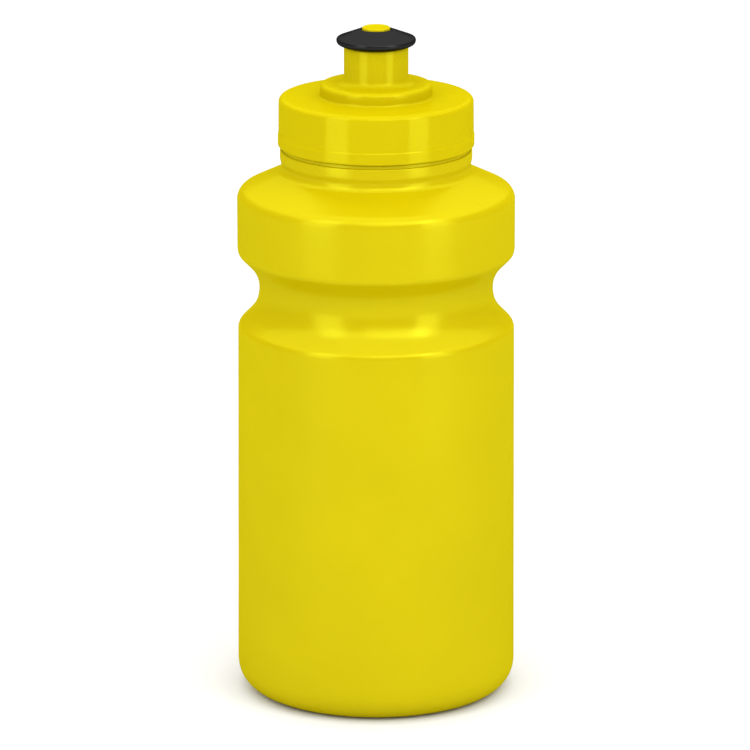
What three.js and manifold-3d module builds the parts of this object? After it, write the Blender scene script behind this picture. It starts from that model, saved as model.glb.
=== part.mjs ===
// A half-litre squeeze bottle for sport: a blown bottle body with a grip groove, a screw lid with a
// drinking tube, a gasket under the lid, a fixed valve pin, and a push-pull nozzle that slides in the tube.
// Millimetres, +Z up. The origin is on the bottle's axis, at the surface it stands on.
import * as THREE from 'three';
import { mergeVertices } from 'three/addons/utils/BufferGeometryUtils.js';
import Module from 'manifold-3d';

const wasm = await Module();
wasm.setup();

// Bottle body
const WALL = 1.3;
const FOOT_RADIUS = 37.5; // just above the rounded foot
const CYLINDER_TOP_RADIUS = 37; // the lower cylinder narrows a little as it rises
const FOOT_ROUNDING = 7.4;
const PUSH_UP_HEIGHT = 2.5; // hollow under the base, so that the bottle stands on a ring
const PUSH_UP_RADIUS = 19;
const PUSH_UP_ROUNDING = 4;
const STANDING_RING_RADIUS = 23; // inner edge of the ring that touches the table
const STANDING_RING_ROUNDING = 1.5;
const GROOVE_HEIGHT = 111.1; // middle of the grip groove
const GROOVE_RADIUS = 31.25; // bottle radius at the groove's floor
const GROOVE_ARC = 10; // both of the groove's flanks slope at 45 degrees and run into this arc
const GROOVE_EDGE_ROUNDING = 2.2;
const BAND_RADIUS = 37.1;
const SHOULDER_HEIGHT = 137.8; // where the band and the shoulder would meet without the rounding
const SHOULDER_ROUNDING = 3.2;
const NECK_ROOT_RADIUS = 24.9;
const NECK_ROOT_HEIGHT = 143.6;
const NECK_ROOT_ROUNDING = 2.2;
const BEAD_RADIUS = 25.6; // the bead is the ring round the neck that the lid stops above
const BEAD_BOTTOM = 146.5;
const BEAD_ROUNDING = 1;
const BEAD_TOP = 149.2;
const LEDGE_RADIUS = 25.1; // the step on the bead that all but closes the gap under the lid
const LEDGE_TOP = 150;
const NECK_RADIUS = 23.2;
const RIM_HEIGHT = 160.2;

// Screw thread, right-handed, cut alike on the neck and in the lid
const THREAD_PITCH = 4;
const THREAD_TURNS = 1.5;
const THREAD_ROOT_WIDTH = 2;
const THREAD_CREST_WIDTH = 1;
const THREAD_DEPTH = 1.1;
const THREAD_BITE = 0.4; // how far a ridge reaches into the wall that carries it
const THREAD_START = 2; // first ridge's middle above the lid's lower edge
const THREAD_STEP = THREE.MathUtils.degToRad(10);
const THREAD_RUN_OUT = THREE.MathUtils.degToRad(40); // a ridge fades in and out over this angle

// Lid, in heights above its own lower edge
const LID_HEIGHT_ON_BOTTLE = 150.3;
const LID_EDGE_RADIUS = 26.2;
const LID_EDGE_BAND = 3; // height of the slightly wider band at the lower edge
const LID_EDGE_SLOPE = 0.4; // height over which the band runs into the skirt
const LID_SKIRT_RADIUS = 26.02;
const LID_TOP_RADIUS = 25.95;
const LID_INNER_RADIUS = 24.65;
const LID_TOP = 13.1;
const LID_CEILING = 11.6;
const LID_TOP_ROUNDING = 1.4;
const COLLAR_RADIUS = 14.9;
const COLLAR_TOP = 16.8;
const COLLAR_ROOT_ROUNDING = 0.8;
const COLLAR_EDGE_ROUNDING = 1.2;
const INSERT_SEAT_RADIUS = 13.6;
const INSERT_SEAT_TOP = 13.7;
const TUBE_RADIUS = 8.57;
const TUBE_BORE = 7.15;
const TUBE_LIP_RADIUS = 6.75; // the lip at the tube's top keeps the nozzle from pulling out
const TUBE_LIP_HEIGHT = 1.6;
const TUBE_LIP_SLOPE = 0.3;
const TUBE_TOP = 26.8;
const TUBE_FILLET = 2;

// Gasket, in heights above the lid's lower edge
const GASKET_BOTTOM = 10.2;
const GASKET_THICKNESS = 1.1;
const GASKET_INNER_RADIUS = 21.2;
const GASKET_OUTER_RADIUS = 24.3;

// Valve pin, in heights above the lid's lower edge
const SPIDER_OUTER_RADIUS = 13.4;
const SPIDER_INNER_RADIUS = 10.9;
const SPIDER_BOTTOM = 11.9;
const SPIDER_THICKNESS = 1.5;
const SPIDER_ARMS = 3;
const SPIDER_ARM_WIDTH = 2.2;
const SPIDER_ARM_THICKNESS = 1.3;
const HUB_RADIUS = 3;
const HUB_TAPER = 1.5; // height over which the hub runs into the stem
const STEM_RADIUS = 2.2;
const TIP_RADIUS = 3.72;
const TIP_TAPER = 2; // height over which the stem widens to the tip
const TIP_BOTTOM = 29.3;
const TIP_TOP = 31.95;
const TIP_RIM_WIDTH = 1;
const TIP_DIMPLE = 0.3; // depth of the shallow hollow in the tip

// Nozzle, in heights above the lid's lower edge, pushed down and shut
const NOZZLE_HOLE_RADIUS = 4;
const NOZZLE_TOP = 31.6;
const NOZZLE_RIM_RADIUS = 10.75;
const NOZZLE_RIM_TOP = 28.85;
const NOZZLE_RIM_BOTTOM = 27.2;
const NOZZLE_RIM_SLANT = 0.3; // how much narrower the rim is below than above
const NOZZLE_RIM_LOWER_ROUNDING = 0.9;
const NOZZLE_RIM_UPPER_ROUNDING = 0.7;
const SLEEVE_RADIUS = 6.45;
const SLEEVE_BORE = 5.3;
const SLEEVE_BOTTOM = 16.3;
const SNAP_BEAD_RADIUS = 6.95;
const SNAP_BEAD_HEIGHT = 1.8;
const SNAP_BEAD_RAMP = 0.8;
const HOLE_TAPER = 1.5; // height over which the sleeve's bore narrows to the hole

// Small roundings of moulded edges
const EDGE_ROUNDING = 0.4;
const FINE_EDGE_ROUNDING = 0.3;

// Fineness of the round shapes
const WIDE_SEGMENTS = 48;
const NARROW_SEGMENTS = 36;
const CHORD_ERROR = 0.12; // how far a straight facet may lie from the arc that it stands for

const YELLOW = { color: 0xe1ce0c, roughness: 0.38, metalness: 0 };
const LID_YELLOW = { color: 0xdfcf0c, roughness: 0.28, metalness: 0 };
const BLACK = { color: 0x303030, roughness: 0.35, metalness: 0 };
const CLEAR_WHITE = { color: 0xe6e6df, roughness: 0.5, metalness: 0 };

// An outline is a list of corners [radius, height, rounding]. Its rounded corners become arcs.
function roundCorners(corners, closed) {
  const points = [];
  corners.forEach(([radius, height, rounding = 0], index) => {
    const corner = new THREE.Vector2(radius, height);
    const atEnd = !closed && (index === 0 || index === corners.length - 1);
    if (atEnd || rounding === 0) {
      points.push(corner);
      return;
    }
    const before = new THREE.Vector2(...corners.at(index - 1));
    const after = new THREE.Vector2(...corners[(index + 1) % corners.length]);
    points.push(...cornerArc(before, corner, after, rounding));
  });
  return points;
}

function cornerArc(before, corner, after, rounding) {
  const back = before.sub(corner).normalize();
  const ahead = after.sub(corner).normalize();
  const halfAngle = Math.acos(back.dot(ahead)) / 2;
  const middle = back.clone().add(ahead).normalize();
  const centre = corner.clone().addScaledVector(middle, rounding / Math.sin(halfAngle));
  const tangent = rounding / Math.tan(halfAngle);
  const start = corner.clone().addScaledVector(back, tangent).sub(centre);
  const end = corner.clone().addScaledVector(ahead, tangent).sub(centre);
  const sweep = Math.atan2(start.cross(end), start.dot(end));
  const widestStep = 2 * Math.acos(1 - Math.min(CHORD_ERROR / rounding, 1));
  const steps = Math.ceil(Math.abs(sweep) / widestStep);
  const origin = new THREE.Vector2();
  return Array.from({ length: steps + 1 }, (_, step) =>
    start.clone().rotateAround(origin, (sweep * step) / steps).add(centre));
}

// The same outline one wall thickness further in (to the left of its direction).
function insetOutline(corners, wall) {
  const points = corners.map(([radius, height]) => new THREE.Vector2(radius, height));
  const directions = points.slice(1).map((point, index) => point.clone().sub(points[index]).normalize());
  const leftOf = (direction) => new THREE.Vector2(-direction.y, direction.x);
  return points.map((point, index) => {
    const into = directions[Math.max(index - 1, 0)];
    const outOf = directions[Math.min(index, directions.length - 1)];
    const bisector = leftOf(into).add(leftOf(outOf)).normalize();
    const moved = point.clone().addScaledVector(bisector, wall / bisector.dot(leftOf(into)));
    const turnsLeft = into.cross(outOf) > 0;
    const rounding = corners[index][2] ?? 0;
    const insetRounding = turnsLeft ? Math.max(rounding - wall, 0) : rounding + wall;
    return [moved.x, moved.y, rounding === 0 ? 0 : insetRounding];
  });
}

// Turns an outline round the Z axis. A closed outline goes up the outside and down the inside.
function turn(points, closed, segments) {
  const profile = closed ? [...points, points[0]] : points;
  return new THREE.LatheGeometry(profile, segments).rotateX(Math.PI / 2);
}

// A helical ridge on a wall of the given radius. It stands outwards, or inwards when side is -1.
function threadRidge(wallRadius, side, firstHeight, startAngle) {
  const sweep = THREAD_TURNS * 2 * Math.PI;
  const steps = Math.round(sweep / THREAD_STEP);
  const positions = [];
  for (let step = 0; step <= steps; step += 1) {
    const travelled = (sweep * step) / steps;
    const angle = startAngle + travelled;
    const height = firstHeight + (THREAD_PITCH * travelled) / (2 * Math.PI);
    const fade = Math.min(1, (travelled + THREAD_STEP / 2) / THREAD_RUN_OUT,
      (sweep - travelled + THREAD_STEP / 2) / THREAD_RUN_OUT);
    const rootRadius = wallRadius - side * THREAD_BITE;
    const crestRadius = wallRadius + side * THREAD_DEPTH * fade;
    const section = [
      [rootRadius, -THREAD_ROOT_WIDTH / 2],
      [crestRadius, -THREAD_CREST_WIDTH / 2],
      [crestRadius, THREAD_CREST_WIDTH / 2],
      [rootRadius, THREAD_ROOT_WIDTH / 2],
    ];
    for (const [radius, offset] of section) {
      positions.push(radius * Math.cos(angle), radius * Math.sin(angle), height + offset);
    }
  }
  const geometry = new THREE.BufferGeometry();
  geometry.setAttribute('position', new THREE.Float32BufferAttribute(positions, 3));
  geometry.setIndex(sweptFaces(4, steps, side));
  return geometry;
}

// Faces of a section of `corners` points swept through `steps` steps, with both ends capped.
function sweptFaces(corners, steps, side) {
  const faces = [];
  for (let step = 0; step < steps; step += 1) {
    for (let corner = 0; corner < corners; corner += 1) {
      const next = (corner + 1) % corners;
      const here = step * corners;
      const there = here + corners;
      faces.push([here + corner, here + next, there + next]);
      faces.push([here + corner, there + next, there + corner]);
    }
  }
  const last = steps * corners;
  faces.push([0, 2, 1], [0, 3, 2], [last, last + 1, last + 2], [last, last + 2, last + 3]);
  return faces.flatMap(([a, b, c]) => (side > 0 ? [a, c, b] : [a, b, c]));
}

function toSolid(geometry) {
  const bare = geometry.clone();
  bare.deleteAttribute('normal');
  bare.deleteAttribute('uv');
  const merged = mergeVertices(bare);
  const index = merged.index.array;
  const triangles = [];
  for (let i = 0; i < index.length; i += 3) {
    const [a, b, c] = index.slice(i, i + 3);
    if (a !== b && b !== c && c !== a) triangles.push(a, b, c);
  }
  return new wasm.Manifold(new wasm.Mesh({
    numProp: 3,
    vertProperties: merged.attributes.position.array,
    triVerts: new Uint32Array(triangles),
  }));
}

function join(...geometries) {
  const mesh = geometries.map(toSolid).reduce((whole, part) => whole.add(part)).getMesh();
  const joined = new THREE.BufferGeometry();
  joined.setAttribute('position', new THREE.BufferAttribute(mesh.vertProperties, 3));
  joined.setIndex(new THREE.BufferAttribute(mesh.triVerts, 1));
  joined.computeVertexNormals();
  return joined;
}

function named(name, geometry, finish) {
  const mesh = new THREE.Mesh(geometry, new THREE.MeshStandardMaterial(finish));
  mesh.name = name;
  return mesh;
}

function makeBottleBody() {
  const grooveVertexRadius = GROOVE_RADIUS + GROOVE_ARC - GROOVE_ARC * Math.SQRT2;
  const outside = [
    [0, PUSH_UP_HEIGHT],
    [PUSH_UP_RADIUS, PUSH_UP_HEIGHT, PUSH_UP_ROUNDING],
    [STANDING_RING_RADIUS, 0, STANDING_RING_ROUNDING],
    [FOOT_RADIUS, 0, FOOT_ROUNDING],
    [CYLINDER_TOP_RADIUS, GROOVE_HEIGHT - (CYLINDER_TOP_RADIUS - grooveVertexRadius), GROOVE_EDGE_ROUNDING],
    [grooveVertexRadius, GROOVE_HEIGHT, GROOVE_ARC],
    [BAND_RADIUS, GROOVE_HEIGHT + (BAND_RADIUS - grooveVertexRadius), GROOVE_EDGE_ROUNDING],
    [BAND_RADIUS, SHOULDER_HEIGHT, SHOULDER_ROUNDING],
    [NECK_ROOT_RADIUS, NECK_ROOT_HEIGHT, NECK_ROOT_ROUNDING],
    [BEAD_RADIUS, BEAD_BOTTOM, BEAD_ROUNDING],
    [BEAD_RADIUS, BEAD_TOP, EDGE_ROUNDING],
    [LEDGE_RADIUS, BEAD_TOP],
    [LEDGE_RADIUS, LEDGE_TOP],
    [NECK_RADIUS, LEDGE_TOP, EDGE_ROUNDING],
    [NECK_RADIUS, RIM_HEIGHT, EDGE_ROUNDING],
  ];
  const inside = insetOutline(outside, WALL).reverse();
  inside[0] = [NECK_RADIUS - WALL, RIM_HEIGHT, EDGE_ROUNDING];
  const shell = turn(roundCorners([...outside, ...inside], false), false, WIDE_SEGMENTS);
  const thread = threadRidge(NECK_RADIUS, 1, LID_HEIGHT_ON_BOTTLE + THREAD_START, 0);
  return join(shell, thread);
}

function makeLid() {
  const outline = [
    [LID_INNER_RADIUS, 0, FINE_EDGE_ROUNDING],
    [LID_EDGE_RADIUS, 0, EDGE_ROUNDING],
    [LID_EDGE_RADIUS, LID_EDGE_BAND],
    [LID_SKIRT_RADIUS, LID_EDGE_BAND + LID_EDGE_SLOPE],
    [LID_TOP_RADIUS, LID_TOP, LID_TOP_ROUNDING],
    [COLLAR_RADIUS, LID_TOP, COLLAR_ROOT_ROUNDING],
    [COLLAR_RADIUS, COLLAR_TOP, COLLAR_EDGE_ROUNDING],
    [TUBE_RADIUS, COLLAR_TOP, TUBE_FILLET],
    [TUBE_RADIUS, TUBE_TOP, EDGE_ROUNDING],
    [TUBE_LIP_RADIUS, TUBE_TOP, FINE_EDGE_ROUNDING],
    [TUBE_LIP_RADIUS, TUBE_TOP - TUBE_LIP_HEIGHT],
    [TUBE_BORE, TUBE_TOP - TUBE_LIP_HEIGHT - TUBE_LIP_SLOPE],
    [TUBE_BORE, INSERT_SEAT_TOP, FINE_EDGE_ROUNDING],
    [INSERT_SEAT_RADIUS, INSERT_SEAT_TOP],
    [INSERT_SEAT_RADIUS, LID_CEILING, FINE_EDGE_ROUNDING],
    [LID_INNER_RADIUS, LID_CEILING, EDGE_ROUNDING],
  ];
  const shell = turn(roundCorners(outline, true), true, WIDE_SEGMENTS);
  // Half a pitch away from the neck's ridge, so that the two threads lie in each other's grooves.
  const thread = threadRidge(LID_INNER_RADIUS, -1, THREAD_START, Math.PI);
  return join(shell, thread);
}

function makeGasket() {
  const top = GASKET_BOTTOM + GASKET_THICKNESS;
  const outline = [
    [GASKET_INNER_RADIUS, GASKET_BOTTOM],
    [GASKET_OUTER_RADIUS, GASKET_BOTTOM],
    [GASKET_OUTER_RADIUS, top],
    [GASKET_INNER_RADIUS, top],
  ];
  return turn(roundCorners(outline, true), true, WIDE_SEGMENTS);
}

function makeValvePin() {
  const spiderTop = SPIDER_BOTTOM + SPIDER_THICKNESS;
  const stem = turn(roundCorners([
    [0, SPIDER_BOTTOM],
    [HUB_RADIUS, SPIDER_BOTTOM, EDGE_ROUNDING],
    [HUB_RADIUS, spiderTop],
    [STEM_RADIUS, spiderTop + HUB_TAPER],
    [STEM_RADIUS, TIP_BOTTOM - TIP_TAPER],
    [TIP_RADIUS, TIP_BOTTOM],
    [TIP_RADIUS, TIP_TOP, EDGE_ROUNDING],
    [TIP_RADIUS - TIP_RIM_WIDTH, TIP_TOP],
    [0, TIP_TOP - TIP_DIMPLE],
  ], false), false, NARROW_SEGMENTS);
  const ring = turn(roundCorners([
    [SPIDER_INNER_RADIUS, SPIDER_BOTTOM],
    [SPIDER_OUTER_RADIUS, SPIDER_BOTTOM, FINE_EDGE_ROUNDING],
    [SPIDER_OUTER_RADIUS, spiderTop],
    [SPIDER_INNER_RADIUS, spiderTop],
  ], true), true, NARROW_SEGMENTS);
  const armReach = (SPIDER_INNER_RADIUS + SPIDER_OUTER_RADIUS) / 2;
  const arms = Array.from({ length: SPIDER_ARMS }, (_, arm) =>
    new THREE.BoxGeometry(armReach, SPIDER_ARM_WIDTH, SPIDER_ARM_THICKNESS)
      .translate(armReach / 2, 0, SPIDER_BOTTOM + SPIDER_THICKNESS / 2)
      .rotateZ((arm * 2 * Math.PI) / SPIDER_ARMS));
  return join(stem, ring, ...arms);
}

function makeNozzle() {
  const snapTop = SLEEVE_BOTTOM + SNAP_BEAD_HEIGHT;
  const outline = [
    [SLEEVE_BORE, SLEEVE_BOTTOM],
    [SLEEVE_RADIUS, SLEEVE_BOTTOM],
    [SNAP_BEAD_RADIUS, SLEEVE_BOTTOM + SNAP_BEAD_RAMP],
    [SNAP_BEAD_RADIUS, snapTop],
    [SLEEVE_RADIUS, snapTop],
    [SLEEVE_RADIUS, NOZZLE_RIM_BOTTOM, EDGE_ROUNDING],
    [NOZZLE_RIM_RADIUS - NOZZLE_RIM_SLANT, NOZZLE_RIM_BOTTOM, NOZZLE_RIM_LOWER_ROUNDING],
    [NOZZLE_RIM_RADIUS, NOZZLE_RIM_TOP, NOZZLE_RIM_UPPER_ROUNDING],
    [NOZZLE_HOLE_RADIUS, NOZZLE_TOP, FINE_EDGE_ROUNDING],
    [NOZZLE_HOLE_RADIUS, TIP_BOTTOM],
    [SLEEVE_BORE, TIP_BOTTOM - HOLE_TAPER],
  ];
  return turn(roundCorners(outline, true), true, NARROW_SEGMENTS);
}

const lidGroup = new THREE.Group();
lidGroup.position.z = LID_HEIGHT_ON_BOTTLE;
lidGroup.add(named('lid', makeLid(), LID_YELLOW));
lidGroup.add(named('lid_gasket', makeGasket(), CLEAR_WHITE));
lidGroup.add(named('valve_pin', makeValvePin(), LID_YELLOW));
lidGroup.add(named('nozzle', makeNozzle(), BLACK));

const bottle = new THREE.Group();
bottle.add(named('bottle_body', makeBottleBody(), YELLOW));
bottle.add(lidGroup);

export default bottle;
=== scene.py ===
"""Looks of the squeeze bottle, in a white studio.

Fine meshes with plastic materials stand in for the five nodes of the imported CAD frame.
"""

import math

import bmesh
import bpy
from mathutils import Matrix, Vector, noise


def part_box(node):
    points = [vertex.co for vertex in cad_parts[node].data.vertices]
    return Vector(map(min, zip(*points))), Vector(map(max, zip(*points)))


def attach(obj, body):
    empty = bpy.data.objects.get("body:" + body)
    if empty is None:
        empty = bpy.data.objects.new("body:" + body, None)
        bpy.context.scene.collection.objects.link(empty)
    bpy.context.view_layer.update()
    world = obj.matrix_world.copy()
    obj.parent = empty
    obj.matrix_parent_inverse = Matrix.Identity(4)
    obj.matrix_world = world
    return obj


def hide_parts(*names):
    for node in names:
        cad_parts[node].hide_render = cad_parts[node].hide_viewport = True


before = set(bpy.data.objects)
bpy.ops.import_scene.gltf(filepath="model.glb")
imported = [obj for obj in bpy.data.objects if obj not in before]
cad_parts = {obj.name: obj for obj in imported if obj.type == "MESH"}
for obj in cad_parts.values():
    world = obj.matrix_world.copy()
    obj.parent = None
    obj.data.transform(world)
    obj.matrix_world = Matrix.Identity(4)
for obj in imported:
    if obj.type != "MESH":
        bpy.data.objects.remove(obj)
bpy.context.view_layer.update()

# Outlines are in millimetres, and become metres when a mesh is made.
MM = 0.001


def low_mm(node):
    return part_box(node)[0] / MM


def high_mm(node):
    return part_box(node)[1] / MM


# Heights that the CAD model fixes
RIM = high_mm("bottle_body").z
LID = low_mm("lid").z
TUBE_TOP = high_mm("lid").z
GASKET_LOW = low_mm("lid_gasket").z
GASKET_HIGH = high_mm("lid_gasket").z
PIN_LOW = low_mm("valve_pin").z
PIN_HIGH = high_mm("valve_pin").z
NOZZLE_LOW = low_mm("nozzle").z
NOZZLE_HIGH = high_mm("nozzle").z

# Roundings that several edges share
EDGE_ROUNDING = 0.4
FINE_ROUNDING = 0.3
CRISP_ROUNDING = 0.2
CREASE_ROUNDING = 0.1

# Bottle body
WALL = 1.3
PUSH_UP_HEIGHT = 2.5
PUSH_UP_RADIUS = 19
PUSH_UP_ROUNDING = 4
STANDING_RING_RADIUS = 23
STANDING_RING_ROUNDING = 1.5
FOOT_RADIUS = high_mm("bottle_body").x
FOOT_ROUNDING = 7.4
CYLINDER_TOP_RADIUS = FOOT_RADIUS - 0.5
BAND_RADIUS = FOOT_RADIUS - 0.4
GROOVE_MIDDLE = 111.1
GROOVE_RADIUS = 31.25
GROOVE_ARC = 10
GROOVE_EDGE_ROUNDING = 2.2
SHOULDER = 137.8
SHOULDER_ROUNDING = 3.2
NECK_ROOT_RADIUS = 24.9
NECK_RADIUS = 23.2
NECK_ROOT_HEIGHT = 143.6
NECK_ROOT_ROUNDING = 2.2
BEAD_RADIUS = 25.6
BEAD_BOTTOM = 146.5
BEAD_TOP = 149.2
BEAD_ROUNDING = 1.5
LEDGE_RADIUS = 25.1
LEDGE_TOP = 150.1
LEDGE_ROOT_ROUNDING = 0.12

# Mould seams and shallow waves in the body's walls
RELIEF_LOW = 3
RELIEF_ROWS = 4
SEAM_HEIGHT = 0.06
SEAM_HALF_WIDTH = 0.35
WAVE_HEIGHT = 0.03
WAVE_LENGTH = 22

# Screw thread
PITCH = 4
THREAD_TURNS = 1.5
THREAD_DEPTH = 1.1
THREAD_ROWS = 0.2
CREST_HALF_WIDTH = 0.5
ROOT_HALF_WIDTH = 1.0
THREAD_START = LID + 2
THREAD_FADE = math.radians(40)

# Lid
LID_RADIUS = high_mm("lid").x
SKIRT_RADIUS = 26.02
LID_TOP_RADIUS = 25.95
LID_INNER_RADIUS = 24.65
LID_TOP = LID + 13.1
LID_TOP_ROUNDING = 1.4
LID_CEILING = LID + 11.6
CEILING_ROUNDING = 0.5
EDGE_BAND_TOP = LID + 3.4
EDGE_BAND_SLOPE = 0.4
COLLAR_RADIUS = 14.9
COLLAR_TOP = LID + 16.8
COLLAR_ROOT_ROUNDING = 0.8
COLLAR_EDGE_ROUNDING = 1.2
INSERT_SEAT_RADIUS = 13.6
INSERT_SEAT_TOP = LID + 13.7
TUBE_RADIUS = 8.57
TUBE_ROOT_ROUNDING = 2
TUBE_BORE = 7.15
TUBE_LIP_RADIUS = 6.75
TUBE_LIP_HEIGHT = 1.6
TUBE_LIP_SLOPE = 0.3

# Gasket
GASKET_RADIUS = high_mm("lid_gasket").x
GASKET_INNER_RADIUS = 21.2

# Valve pin
SPIDER_RADIUS = high_mm("valve_pin").x
SPIDER_THICKNESS = 1.5
SPIDER_ARMS = 3
WINDOW_OUTER = 10.9
WINDOW_INNER = 4.2
ARM_HALF_WIDTH = 1.1
HUB_RADIUS = 3.0
HUB_PROUD = 0.2
HUB_TAPER = 1.5
STEM_RADIUS = 2.2
STEM_ROUNDING = 0.6
TIP_RADIUS = 3.72
TIP_HEIGHT = 2.65
TIP_TAPER = 2
TIP_TAPER_ROUNDING = 0.8
TIP_ROUNDING = 0.5
TIP_RIM_WIDTH = 1
TIP_RIM_ROUNDING = 0.6
TIP_DISH_SLOPE = 0.8
TIP_DISH_DEPTH = 0.3
TIP_DISH_ROUNDING = 0.8

# Nozzle
DISC_RADIUS = high_mm("nozzle").x
DISC_LOW = LID + 27.2
DISC_LOW_ROUNDING = 0.95
DISC_RIM = LID + 28.85
DISC_RIM_ROUNDING = 0.8
DISC_RIM_ALLOWANCE = 0.06
DISC_SLANT = 0.3
HOLE_RADIUS = 4
HOLE_EDGE_ROUNDING = 0.25
HOLE_TAPER = 1.5
HOLE_ROOT_ROUNDING = 0.5
SLEEVE_RADIUS = 6.45
SLEEVE_BORE = 5.3
WIPER_RADIUS = 6.95
WIPER_RAMP = 0.8
WIPER_TOP = NOZZLE_LOW + 1.8

# How finely the meshes are divided
LARGE_RING = 192
MEDIUM_RING = 160
SPIDER_RING = 128
SMALL_RING = 96
WINDOW_ARC_STEPS = 16
BEVEL_STEPS = 2
ARC_STEP = math.radians(9)
FEWEST_ARC_STEPS = 4

# Gap between a rounded edge and the support points beside it, and the least room that they need
SUPPORT_GAP = 0.3
LEAST_SPARE = 0.1

# A point this close to a wall is taken to be on it
NEAR = 0.1

# Colours
YELLOW = (0.446, 0.345, 0.0008)
LID_YELLOW = (0.446, 0.353, 0.0008)
YELLOW_GLOSS = (0.9, 1.0, 0.05)
BLACK = (0.004, 0.004, 0.0043)
WHITE_RUBBER = (0.74, 0.73, 0.68)
WHITE = (1, 1, 1)
PAPER_DARK = (0.68, 0.685, 0.70)
PAPER_LIGHT = (0.70, 0.705, 0.72)

# What the moulded materials share: lengths in millimetres, tints as shares of the colour
DARK_TINT = 0.965
LIGHT_TINT = 1.02
CLOUD_SIZE = 26
SMEAR_SIZE = 9
SMEAR_STRETCH = (1, 1, 0.35)
ROUGHNESS_SPREAD = 0.03
RIPPLE_SIZE = 7
RIPPLE_DEPTH = 0.02
GLOW_RADII = (1.0, 0.75, 0.08)
GLOW_DEPTH = 2.5


# ---- Outlines ----

def rounded(corners, closed):
    """Corners (radius, height, rounding) as points.

    Each rounded corner becomes an arc, with support points beside it.
    """
    points = []
    count = len(corners)
    for index, (radius, height, *rest) in enumerate(corners):
        rounding = rest[0] if rest else 0
        corner = Vector((radius, height))
        if rounding == 0 or (not closed and index in (0, count - 1)):
            points.append(corner)
            continue
        before = Vector(corners[index - 1][:2])
        after = Vector(corners[(index + 1) % count][:2])
        points += corner_arc(before, corner, after, rounding)
    return points


def corner_arc(before, corner, after, rounding):
    back = (before - corner).normalized()
    ahead = (after - corner).normalized()
    half_angle = back.angle(ahead) / 2
    centre = corner + (back + ahead).normalized() * rounding / math.sin(half_angle)
    tangent = rounding / math.tan(half_angle)
    start = corner + back * tangent - centre
    turn = math.pi - 2 * half_angle
    if back.x * ahead.y - back.y * ahead.x > 0:
        turn = -turn
    steps = max(FEWEST_ARC_STEPS, math.ceil(abs(turn) / ARC_STEP))
    arc = [centre + turned_by(start, turn * step / steps) for step in range(steps + 1)]
    spare = min((before - corner).length, (after - corner).length) / 2 - tangent
    if spare > LEAST_SPARE:
        support = min(SUPPORT_GAP, spare / 2)
        arc.insert(0, arc[0] + back * support)
        arc.append(arc[-1] + ahead * support)
    return arc


def turned_by(vector, angle):
    cosine, sine = math.cos(angle), math.sin(angle)
    return Vector((vector.x * cosine - vector.y * sine, vector.x * sine + vector.y * cosine))


def inset(corners, wall):
    """The outline one wall further in, to the left of its direction."""
    points = [Vector(corner[:2]) for corner in corners]
    ways = [(b - a).normalized() for a, b in zip(points, points[1:])]
    moved = []
    for index, point in enumerate(points):
        into = ways[max(index - 1, 0)]
        out_of = ways[min(index, len(ways) - 1)]
        left_in = Vector((-into.y, into.x))
        left_out = Vector((-out_of.y, out_of.x))
        bisector = (left_in + left_out).normalized()
        place = point + bisector * wall / bisector.dot(left_in)
        rounding = corners[index][2] if len(corners[index]) > 2 else 0
        if rounding:
            turns_left = into.x * out_of.y - into.y * out_of.x > 0
            rounding = max(rounding - wall, FINE_ROUNDING) if turns_left else rounding + wall
        moved.append((place.x, place.y, rounding))
    return moved


def with_rows(points, low, high, spacing, closed):
    """Extra points on the straight stretches between two heights, for relief to stand on."""
    filled = []
    following = points[1:] + points[:1] if closed else points[1:] + points[-1:]
    for point, after in zip(points, following):
        filled.append(point)
        length = (after - point).length
        middle = (point.y + after.y) / 2
        if length > 1.5 * spacing and low < middle < high:
            count = math.ceil(length / spacing)
            filled += [point.lerp(after, step / count) for step in range(1, count)]
    return filled


# ---- Meshes ----

def evenly(count, extra=()):
    """Angles round the axis, with extra ones where a fine line needs them."""
    angles = {round(2 * math.pi * step / count, 6) for step in range(count)}
    angles |= {round(angle % (2 * math.pi), 6) for angle in extra}
    return sorted(angles)


def turned(name, points, closed, angles, relief=None):
    """A mesh turned round the Z axis.

    relief(angle, radius, height) says how far a point moves outwards, in millimetres.
    """
    mesh = bmesh.new()
    rings = []
    for point in points:
        if math.isclose(point.x, 0, abs_tol=1e-6):
            rings.append([mesh.verts.new((0, 0, point.y * MM))])
            continue
        ring = []
        for angle in angles:
            radius = point.x + (relief(angle, point.x, point.y) if relief else 0)
            place = Vector((radius * math.cos(angle), radius * math.sin(angle), point.y))
            ring.append(mesh.verts.new(place * MM))
        rings.append(ring)
    pairs = list(zip(rings, rings[1:]))
    if closed:
        pairs.append((rings[-1], rings[0]))
    for lower, upper in pairs:
        for step in range(len(angles)):
            following = (step + 1) % len(angles)
            corners = [
                lower[step % len(lower)],
                lower[following % len(lower)],
                upper[following % len(upper)],
                upper[step % len(upper)],
            ]
            mesh.faces.new(list(dict.fromkeys(corners)))
    bmesh.ops.recalc_face_normals(mesh, faces=mesh.faces)
    return finished(name, mesh)


def finished(name, mesh):
    """The mesh as a smooth object in the scene."""
    for face in mesh.faces:
        face.smooth = True
    data = bpy.data.meshes.new(name)
    mesh.to_mesh(data)
    mesh.free()
    piece = bpy.data.objects.new(name, data)
    bpy.context.scene.collection.objects.link(piece)
    return piece


def evaluated_mesh(piece):
    """What an object's curve or modifiers make, as a new mesh."""
    bpy.context.view_layer.update()
    return bpy.data.meshes.new_from_object(piece.evaluated_get(bpy.context.evaluated_depsgraph_get()))


def smooth_step(value):
    value = min(max(value, 0), 1)
    return value * value * (3 - 2 * value)


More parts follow.
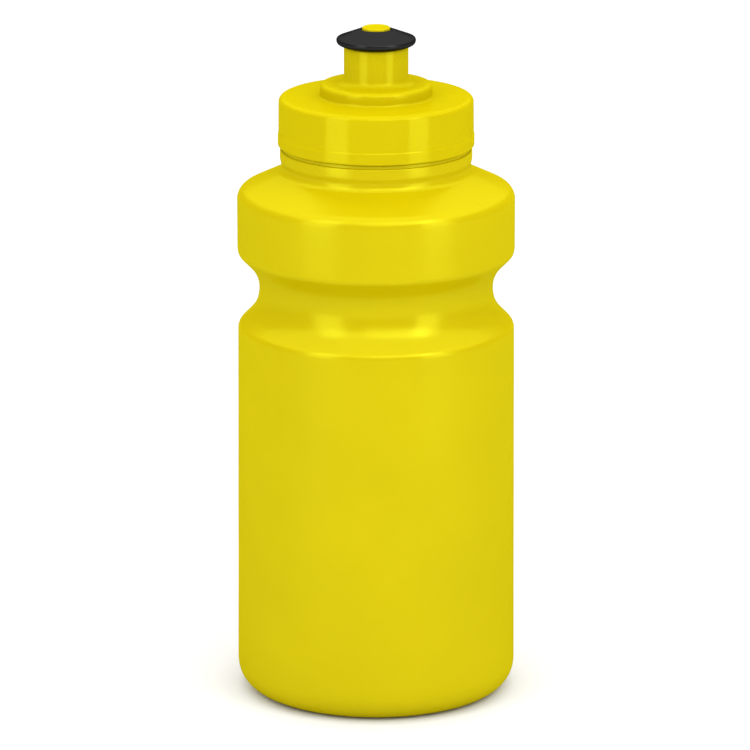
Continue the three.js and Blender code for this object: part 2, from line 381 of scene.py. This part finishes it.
def thread_height(angle, height, start_angle):
    """How far the helical ridge stands out of its wall at a place on it."""
    sweep = THREAD_TURNS * 2 * math.pi
    tallest = 0
    first = (angle - start_angle) % (2 * math.pi)
    for lap in range(math.ceil(THREAD_TURNS)):
        travelled = first + lap * 2 * math.pi
        if travelled > sweep:
            continue
        away = abs(height - THREAD_START - PITCH * travelled / (2 * math.pi))
        flank = smooth_step((ROOT_HALF_WIDTH - away) / (ROOT_HALF_WIDTH - CREST_HALF_WIDTH))
        fade = smooth_step(min(travelled, sweep - travelled) / THREAD_FADE)
        tallest = max(tallest, flank * fade)
    return tallest * THREAD_DEPTH


# ---- Bottle ----

def bottle_outline():
    """The shell's outline: up the outside from the base's middle, and back down the inside."""
    # The groove's arc lies between flanks at 45 degrees, which would meet at this radius.
    groove_vertex = GROOVE_RADIUS + GROOVE_ARC - GROOVE_ARC * math.sqrt(2)
    groove_low = GROOVE_MIDDLE - (CYLINDER_TOP_RADIUS - groove_vertex)
    groove_high = GROOVE_MIDDLE + (BAND_RADIUS - groove_vertex)
    outside = [
        (0, PUSH_UP_HEIGHT),
        (PUSH_UP_RADIUS, PUSH_UP_HEIGHT, PUSH_UP_ROUNDING),
        (STANDING_RING_RADIUS, 0, STANDING_RING_ROUNDING),
        (FOOT_RADIUS, 0, FOOT_ROUNDING),
        (CYLINDER_TOP_RADIUS, groove_low, GROOVE_EDGE_ROUNDING),
        (groove_vertex, GROOVE_MIDDLE, GROOVE_ARC),
        (BAND_RADIUS, groove_high, GROOVE_EDGE_ROUNDING),
        (BAND_RADIUS, SHOULDER, SHOULDER_ROUNDING),
        (NECK_ROOT_RADIUS, NECK_ROOT_HEIGHT, NECK_ROOT_ROUNDING),
        (BEAD_RADIUS, BEAD_BOTTOM, BEAD_ROUNDING),
        (BEAD_RADIUS, BEAD_TOP, EDGE_ROUNDING),
        (LEDGE_RADIUS, BEAD_TOP, LEDGE_ROOT_ROUNDING),
        (LEDGE_RADIUS, LEDGE_TOP, CRISP_ROUNDING),
        (NECK_RADIUS, LEDGE_TOP, EDGE_ROUNDING),
        (NECK_RADIUS, RIM, EDGE_ROUNDING),
    ]
    inside = inset(outside, WALL)[::-1]
    inside[0] = (NECK_RADIUS - WALL, RIM, EDGE_ROUNDING)
    points = rounded(outside + inside, False)
    points = with_rows(points, FOOT_ROUNDING, SHOULDER - SHOULDER_ROUNDING, RELIEF_ROWS, False)
    return with_rows(points, LEDGE_TOP + EDGE_ROUNDING, RIM - EDGE_ROUNDING, THREAD_ROWS, False)


def bottle_relief(angle, radius, height):
    """The thread on the neck, and below it the seams and shallow waves of the blown walls."""
    if radius > NECK_RADIUS - NEAR and height > LEDGE_TOP:
        return thread_height(angle, height, start_angle=0)
    if not RELIEF_LOW <= height <= BEAD_TOP or radius < NECK_ROOT_RADIUS - NEAR:
        return 0
    if radius < GROOVE_RADIUS - WALL / 2 and height < SHOULDER:
        return 0
    arc_from_seam = abs(math.remainder(angle, math.pi)) * FOOT_RADIUS
    seam = SEAM_HEIGHT * smooth_step(1 - arc_from_seam / SEAM_HALF_WIDTH)
    place = Vector((math.cos(angle), math.sin(angle), height / radius)) * radius / WAVE_LENGTH
    return seam + WAVE_HEIGHT * noise.noise(place)


def make_bottle():
    seam_angles = [
        half_turn * math.pi + share * SEAM_HALF_WIDTH / FOOT_RADIUS
        for half_turn in (0, 1)
        for share in (-1, -0.5, 0, 0.5, 1)
    ]
    angles = evenly(LARGE_RING, seam_angles)
    bottle = turned("bottle_shell", bottle_outline(), False, angles, bottle_relief)
    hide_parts("bottle_body")
    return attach(bottle, "bottle")


# ---- Lid and gasket ----

def lid_outline():
    """The lid's section: up the outside to the tube's top, and back down the inside."""
    lip_low = TUBE_TOP - TUBE_LIP_HEIGHT
    corners = [
        (LID_INNER_RADIUS, LID, FINE_ROUNDING),
        (LID_RADIUS, LID, EDGE_ROUNDING),
        (LID_RADIUS, EDGE_BAND_TOP - EDGE_BAND_SLOPE, EDGE_ROUNDING),
        (SKIRT_RADIUS, EDGE_BAND_TOP, CRISP_ROUNDING),
        (LID_TOP_RADIUS, LID_TOP, LID_TOP_ROUNDING),
        (COLLAR_RADIUS, LID_TOP, COLLAR_ROOT_ROUNDING),
        (COLLAR_RADIUS, COLLAR_TOP, COLLAR_EDGE_ROUNDING),
        (TUBE_RADIUS, COLLAR_TOP, TUBE_ROOT_ROUNDING),
        (TUBE_RADIUS, TUBE_TOP, EDGE_ROUNDING),
        (TUBE_LIP_RADIUS, TUBE_TOP, FINE_ROUNDING),
        (TUBE_LIP_RADIUS, lip_low, CREASE_ROUNDING),
        (TUBE_BORE, lip_low - TUBE_LIP_SLOPE, CREASE_ROUNDING),
        (TUBE_BORE, INSERT_SEAT_TOP, FINE_ROUNDING),
        (INSERT_SEAT_RADIUS, INSERT_SEAT_TOP, CRISP_ROUNDING),
        (INSERT_SEAT_RADIUS, LID_CEILING, FINE_ROUNDING),
        (LID_INNER_RADIUS, LID_CEILING, CEILING_ROUNDING),
    ]
    thread_room_top = LID_CEILING - CEILING_ROUNDING
    return with_rows(rounded(corners, True), LID + EDGE_ROUNDING, thread_room_top, THREAD_ROWS, True)


def lid_relief(angle, radius, height):
    """The thread inside the skirt, half a turn round from the neck's."""
    on_inner_wall = radius < LID_INNER_RADIUS + NEAR
    return -thread_height(angle, height, start_angle=math.pi) if on_inner_wall else 0


def make_lid():
    lid = turned("lid_shell", lid_outline(), True, evenly(LARGE_RING), lid_relief)
    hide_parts("lid")
    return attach(lid, "lid")


def make_gasket():
    corners = [
        (GASKET_INNER_RADIUS, GASKET_LOW, FINE_ROUNDING),
        (GASKET_RADIUS, GASKET_LOW, FINE_ROUNDING),
        (GASKET_RADIUS, GASKET_HIGH, FINE_ROUNDING),
        (GASKET_INNER_RADIUS, GASKET_HIGH, FINE_ROUNDING),
    ]
    gasket = turned("gasket_ring", rounded(corners, True), True, evenly(MEDIUM_RING))
    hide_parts("lid_gasket")
    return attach(gasket, "gasket")


# ---- Valve pin ----

def stem_outline():
    """The hub, the stem and the dished tip."""
    hub_low = PIN_LOW - HUB_PROUD
    spider_top = PIN_LOW + SPIDER_THICKNESS
    tip_low = PIN_HIGH - TIP_HEIGHT
    dish = PIN_HIGH - TIP_DISH_DEPTH
    rim_radius = TIP_RADIUS - TIP_RIM_WIDTH
    return rounded([
        (0, hub_low),
        (HUB_RADIUS, hub_low, EDGE_ROUNDING),
        (HUB_RADIUS, spider_top + HUB_PROUD, CRISP_ROUNDING),
        (STEM_RADIUS, spider_top + HUB_TAPER, STEM_ROUNDING),
        (STEM_RADIUS, tip_low - TIP_TAPER, TIP_TAPER_ROUNDING),
        (TIP_RADIUS, tip_low, STEM_ROUNDING),
        (TIP_RADIUS, PIN_HIGH, TIP_ROUNDING),
        (rim_radius, PIN_HIGH, TIP_RIM_ROUNDING),
        (rim_radius - TIP_DISH_SLOPE, dish, TIP_DISH_ROUNDING),
        (0, dish),
    ], False)


def make_spider():
    """The flat wheel of three arms that holds the stem.

    Its outline has a window between each two arms, and is extruded with rounded edges.
    """
    curve = bpy.data.curves.new("spider", "CURVE")
    curve.dimensions = "2D"
    curve.fill_mode = "BOTH"
    around = [2 * math.pi * step / SPIDER_RING for step in range(SPIDER_RING)]
    add_loop(curve, [polar(SPIDER_RADIUS - CRISP_ROUNDING, angle) for angle in around])
    for window in range(SPIDER_ARMS):
        add_loop(curve, window_outline((window + 0.5) * 2 * math.pi / SPIDER_ARMS))
    curve.extrude = SPIDER_THICKNESS / 2 * MM - CRISP_ROUNDING * MM
    curve.bevel_depth = CRISP_ROUNDING * MM
    curve.bevel_resolution = BEVEL_STEPS
    plate = bpy.data.objects.new("spider", curve)
    bpy.context.scene.collection.objects.link(plate)
    plate.location.z = (PIN_LOW + SPIDER_THICKNESS / 2) * MM
    flat = evaluated_mesh(plate)
    flat.transform(plate.matrix_world)
    bpy.data.objects.remove(plate)
    solid = bmesh.new()
    solid.from_mesh(flat)
    bmesh.ops.remove_doubles(solid, verts=solid.verts, dist=1e-6)
    bmesh.ops.recalc_face_normals(solid, faces=solid.faces)
    return finished("spider", solid)


def polar(radius, angle):
    return Vector((radius * math.cos(angle), radius * math.sin(angle)))


def window_outline(middle):
    """A flow window between two arms, bounded by two arcs and the arms' parallel sides."""
    half_sector = math.pi / SPIDER_ARMS
    outer_half = half_sector - math.asin(ARM_HALF_WIDTH / WINDOW_OUTER)
    inner_half = half_sector - math.asin(ARM_HALF_WIDTH / WINDOW_INNER)
    shares = [2 * step / WINDOW_ARC_STEPS - 1 for step in range(WINDOW_ARC_STEPS + 1)]
    outer = [polar(WINDOW_OUTER, middle + share * outer_half) for share in shares]
    inner = [polar(WINDOW_INNER, middle - share * inner_half) for share in shares]
    return outer + inner


def add_loop(curve, points):
    loop = curve.splines.new("POLY")
    loop.points.add(len(points) - 1)
    for spot, point in zip(loop.points, points):
        spot.co = (point.x * MM, point.y * MM, 0, 1)
    loop.use_cyclic_u = True


def make_valve_pin():
    pin = turned("valve_pin_moulding", stem_outline(), False, evenly(SMALL_RING))
    spider = make_spider()
    union = pin.modifiers.new("spider", "BOOLEAN")
    union.operation = "UNION"
    union.object = spider
    joined = evaluated_mesh(pin)
    pin.modifiers.clear()
    pin.data = joined
    bpy.data.objects.remove(spider)
    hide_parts("valve_pin")
    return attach(pin, "lid")


# ---- Nozzle ----

def make_nozzle():
    hole_low = PIN_HIGH - TIP_HEIGHT
    corners = [
        (SLEEVE_BORE, NOZZLE_LOW, CRISP_ROUNDING),
        (SLEEVE_RADIUS, NOZZLE_LOW, CRISP_ROUNDING),
        (WIPER_RADIUS, NOZZLE_LOW + WIPER_RAMP, FINE_ROUNDING),
        (WIPER_RADIUS, WIPER_TOP, CRISP_ROUNDING),
        (SLEEVE_RADIUS, WIPER_TOP, CREASE_ROUNDING),
        (SLEEVE_RADIUS, DISC_LOW, FINE_ROUNDING),
        (DISC_RADIUS - DISC_SLANT, DISC_LOW, DISC_LOW_ROUNDING),
        (DISC_RADIUS + DISC_RIM_ALLOWANCE, DISC_RIM, DISC_RIM_ROUNDING),
        (HOLE_RADIUS, NOZZLE_HIGH, HOLE_EDGE_ROUNDING),
        (HOLE_RADIUS, hole_low, FINE_ROUNDING),
        (SLEEVE_BORE, hole_low - HOLE_TAPER, HOLE_ROOT_ROUNDING),
    ]
    nozzle = turned("nozzle_mouthpiece", rounded(corners, True), True, evenly(MEDIUM_RING))
    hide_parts("nozzle")
    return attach(nozzle, "nozzle")


# ---- Materials ----

class Nodes:
    """A small helper for writing a material's node tree."""

    def __init__(self, name):
        self.material = bpy.data.materials.new(name)
        self.material.use_nodes = True
        self.tree = self.material.node_tree
        self.shader = self.tree.nodes["Principled BSDF"]
        self.place = self.tree.nodes.new("ShaderNodeTexCoord").outputs["Object"]

    def link(self, source, target):
        self.tree.links.new(source, target)

    def noise(self, size_mm, detail=2.0, stretch=(1, 1, 1)):
        """Noise whose lumps are about size_mm across."""
        scaling = self.tree.nodes.new("ShaderNodeMapping")
        scaling.inputs["Scale"].default_value = stretch
        self.link(self.place, scaling.inputs["Vector"])
        texture = self.tree.nodes.new("ShaderNodeTexNoise")
        texture.inputs["Scale"].default_value = 1 / (size_mm * MM)
        texture.inputs["Detail"].default_value = detail
        self.link(scaling.outputs["Vector"], texture.inputs["Vector"])
        return texture.outputs["Fac"]

    def spread(self, value, low, high, start=0.3, end=0.7):
        """The value's range from start to end, mapped to low..high."""
        ranged = self.tree.nodes.new("ShaderNodeMapRange")
        ranged.inputs["From Min"].default_value = start
        ranged.inputs["From Max"].default_value = end
        ranged.inputs["To Min"].default_value = low
        ranged.inputs["To Max"].default_value = high
        self.link(value, ranged.inputs["Value"])
        return ranged.outputs["Result"]

    def blend(self, factor, colour_a, colour_b):
        mixed = self.tree.nodes.new("ShaderNodeMix")
        mixed.data_type = "RGBA"
        mixed.inputs["A"].default_value = (*colour_a, 1)
        mixed.inputs["B"].default_value = (*colour_b, 1)
        self.link(factor, mixed.inputs["Factor"])
        return mixed.outputs["Result"]

    def bump(self, height, depth_mm, normal=None):
        bumped = self.tree.nodes.new("ShaderNodeBump")
        bumped.inputs["Distance"].default_value = depth_mm * MM
        self.link(height, bumped.inputs["Height"])
        if normal is not None:
            self.link(normal, bumped.inputs["Normal"])
        return bumped.outputs["Normal"]

    def add_gloss(self, colour, share, roughness, normal):
        """A coloured gloss over the surface, as strong head on as at the edges."""
        glossy = self.tree.nodes.new("ShaderNodeBsdfGlossy")
        glossy.inputs["Color"].default_value = (*colour, 1)
        self.link(roughness, glossy.inputs["Roughness"])
        self.link(normal, glossy.inputs["Normal"])
        mixed = self.tree.nodes.new("ShaderNodeMixShader")
        mixed.inputs["Fac"].default_value = share
        self.link(self.shader.outputs["BSDF"], mixed.inputs[1])
        self.link(glossy.outputs["BSDF"], mixed.inputs[2])
        self.link(mixed.outputs["Shader"], self.tree.nodes["Material Output"].inputs["Surface"])


def moulded_plastic(name, colour, gloss, shine, roughness, grain_mm, grain_depth_mm, glow):
    """Smooth coloured plastic: cloudy tint, uneven gloss, a fine skin and shallow ripples.

    gloss is the colour of its reflections, shine their share, and glow the share of light
    that passes under the surface.
    """
    nodes = Nodes(name)
    shader = nodes.shader.inputs
    darker = tuple(part * DARK_TINT for part in colour)
    lighter = tuple(part * LIGHT_TINT for part in colour)
    cloud = nodes.spread(nodes.noise(CLOUD_SIZE), 0, 1)
    nodes.link(nodes.blend(cloud, darker, lighter), shader["Base Color"])
    smears = nodes.noise(SMEAR_SIZE, detail=4, stretch=SMEAR_STRETCH)
    uneven_roughness = nodes.spread(smears, roughness - ROUGHNESS_SPREAD, roughness + ROUGHNESS_SPREAD)
    nodes.link(uneven_roughness, shader["Roughness"])
    skin = nodes.bump(nodes.noise(grain_mm, detail=3), grain_depth_mm)
    ripples = nodes.bump(nodes.noise(RIPPLE_SIZE, detail=1), RIPPLE_DEPTH, skin)
    nodes.link(ripples, shader["Normal"])
    shader["Specular IOR Level"].default_value = 0
    shader["Subsurface Weight"].default_value = glow
    shader["Subsurface Radius"].default_value = GLOW_RADII
    shader["Subsurface Scale"].default_value = GLOW_DEPTH * MM
    nodes.add_gloss(gloss, shine, uneven_roughness, ripples)
    return nodes.material


def blown_yellow():
    """The bottle body's soft plastic."""
    return moulded_plastic("blown_yellow", YELLOW, YELLOW_GLOSS, shine=0.09, roughness=0.225,
                           grain_mm=0.5, grain_depth_mm=0.003, glow=0.12)


def moulded_yellow():
    """The harder, shinier plastic of the lid and the valve pin."""
    return moulded_plastic("moulded_yellow", LID_YELLOW, YELLOW_GLOSS, shine=0.05, roughness=0.13,
                           grain_mm=0.35, grain_depth_mm=0.001, glow=0.12)


def moulded_black():
    """The nozzle's plastic."""
    return moulded_plastic("moulded_black", BLACK, WHITE, shine=0.017, roughness=0.22,
                           grain_mm=0.3, grain_depth_mm=0.003, glow=0)


def white_rubber():
    """The gasket's rubber."""
    return moulded_plastic("white_rubber", WHITE_RUBBER, WHITE, shine=0.02, roughness=0.5,
                           grain_mm=0.25, grain_depth_mm=0.006, glow=0.2)


def dress(piece, material):
    piece.data.materials.clear()
    piece.data.materials.append(material)


# ---- Studio ----

# Metres and degrees. Azimuth 0 is the camera's side, and grows to the right.
CAMERA_DISTANCE = 1.6
CAMERA_PITCH = math.radians(15.1)
CAMERA_AIM = Vector((-0.0003, 0, 0.0866))
SENSOR_WIDTH_MM = 36
LENS_MM = 285.39
FARTHEST_VISIBLE = 20
FLOOR_RADIUS = 6
FLOOR_CLOUD_MM = 300
FLOOR_ROUGHNESS = 0.9
WORLD_STRENGTH = 0.58
SOFTBOX_FEET = 0.04
RAISED_SOFTBOX_AIM = Vector((0, 0, 0.12))


def add_camera():
    data = bpy.data.cameras.new("camera")
    data.sensor_width = SENSOR_WIDTH_MM
    data.lens = LENS_MM
    data.clip_end = FARTHEST_VISIBLE
    camera = bpy.data.objects.new("camera", data)
    bpy.context.scene.collection.objects.link(camera)
    back = Vector((0, -math.cos(CAMERA_PITCH), math.sin(CAMERA_PITCH)))
    camera.location = CAMERA_AIM + back * CAMERA_DISTANCE
    camera.rotation_euler = (-back).to_track_quat("-Z", "Y").to_euler()
    bpy.context.scene.camera = camera


def add_softbox(name, place, aim, width, height, brightness):
    """A rectangular light whose face gives off this many watts per square metre and steradian."""
    data = bpy.data.lights.new(name, "AREA")
    data.shape = "RECTANGLE"
    data.size = width
    data.size_y = height
    data.energy = brightness * math.pi * width * height
    light = bpy.data.objects.new(name, data)
    bpy.context.scene.collection.objects.link(light)
    light.location = place
    light.rotation_euler = (aim - place).to_track_quat("-Z", "Y").to_euler()


def add_standing_softbox(name, azimuth, distance, width, height, brightness):
    """A softbox on low feet."""
    azimuth = math.radians(azimuth)
    middle = Vector((0, 0, SOFTBOX_FEET + height / 2))
    way = Vector((math.sin(azimuth), -math.cos(azimuth), 0))
    add_softbox(name, middle + way * distance, middle, width, height, brightness)


def add_raised_softbox(name, azimuth, elevation, distance, width, height, brightness):
    """A softbox held up on a boom, that points down at the bottle."""
    azimuth, elevation = math.radians(azimuth), math.radians(elevation)
    level = Vector((math.sin(azimuth), -math.cos(azimuth), 0))
    way = level * math.cos(elevation) + Vector((0, 0, math.sin(elevation)))
    place = RAISED_SOFTBOX_AIM + way * distance
    add_softbox(name, place, RAISED_SOFTBOX_AIM, width, height, brightness)


def add_overhead_softbox(name, height_above, behind, width, length, brightness):
    """A softbox that lies flat above the floor, with its middle some way behind the bottle."""
    floor_spot = Vector((0, behind, 0))
    place = floor_spot + Vector((0, 0, height_above))
    add_softbox(name, place, floor_spot, width, length, brightness)


def add_floor():
    mesh = bmesh.new()
    bmesh.ops.create_circle(mesh, cap_ends=True, segments=SMALL_RING, radius=FLOOR_RADIUS)
    floor = finished("floor", mesh)
    nodes = Nodes("white_paper")
    shader = nodes.shader.inputs
    tone = nodes.spread(nodes.noise(FLOOR_CLOUD_MM), 0, 1)
    nodes.link(nodes.blend(tone, PAPER_DARK, PAPER_LIGHT), shader["Base Color"])
    shader["Roughness"].default_value = FLOOR_ROUGHNESS
    shader["Specular IOR Level"].default_value = 0
    dress(floor, nodes.material)


def add_world():
    world = bpy.data.worlds.new("studio")
    world.use_nodes = True
    background = world.node_tree.nodes["Background"]
    background.inputs["Color"].default_value = (*WHITE, 1)
    background.inputs["Strength"].default_value = WORLD_STRENGTH
    bpy.context.scene.world = world


def add_lights():
    add_standing_softbox("left_softbox", azimuth=-46, distance=0.45,
                         width=0.22, height=0.6, brightness=2.25)
    add_standing_softbox("right_softbox", azimuth=50, distance=0.45,
                         width=0.19, height=0.6, brightness=2.4)
    add_raised_softbox("front_softbox", azimuth=20, elevation=38, distance=1.1,
                       width=1.1, height=0.6, brightness=1.6)
    add_overhead_softbox("top_softbox", height_above=1.2, behind=1.3,
                         width=3.2, length=5.8, brightness=1.33)


add_camera()
add_world()
add_floor()
add_lights()
bpy.context.scene.view_settings.view_transform = "Standard"

dress(make_bottle(), blown_yellow())
lid_plastic = moulded_yellow()
dress(make_lid(), lid_plastic)
dress(make_gasket(), white_rubber())
dress(make_valve_pin(), lid_plastic)
dress(make_nozzle(), moulded_black())
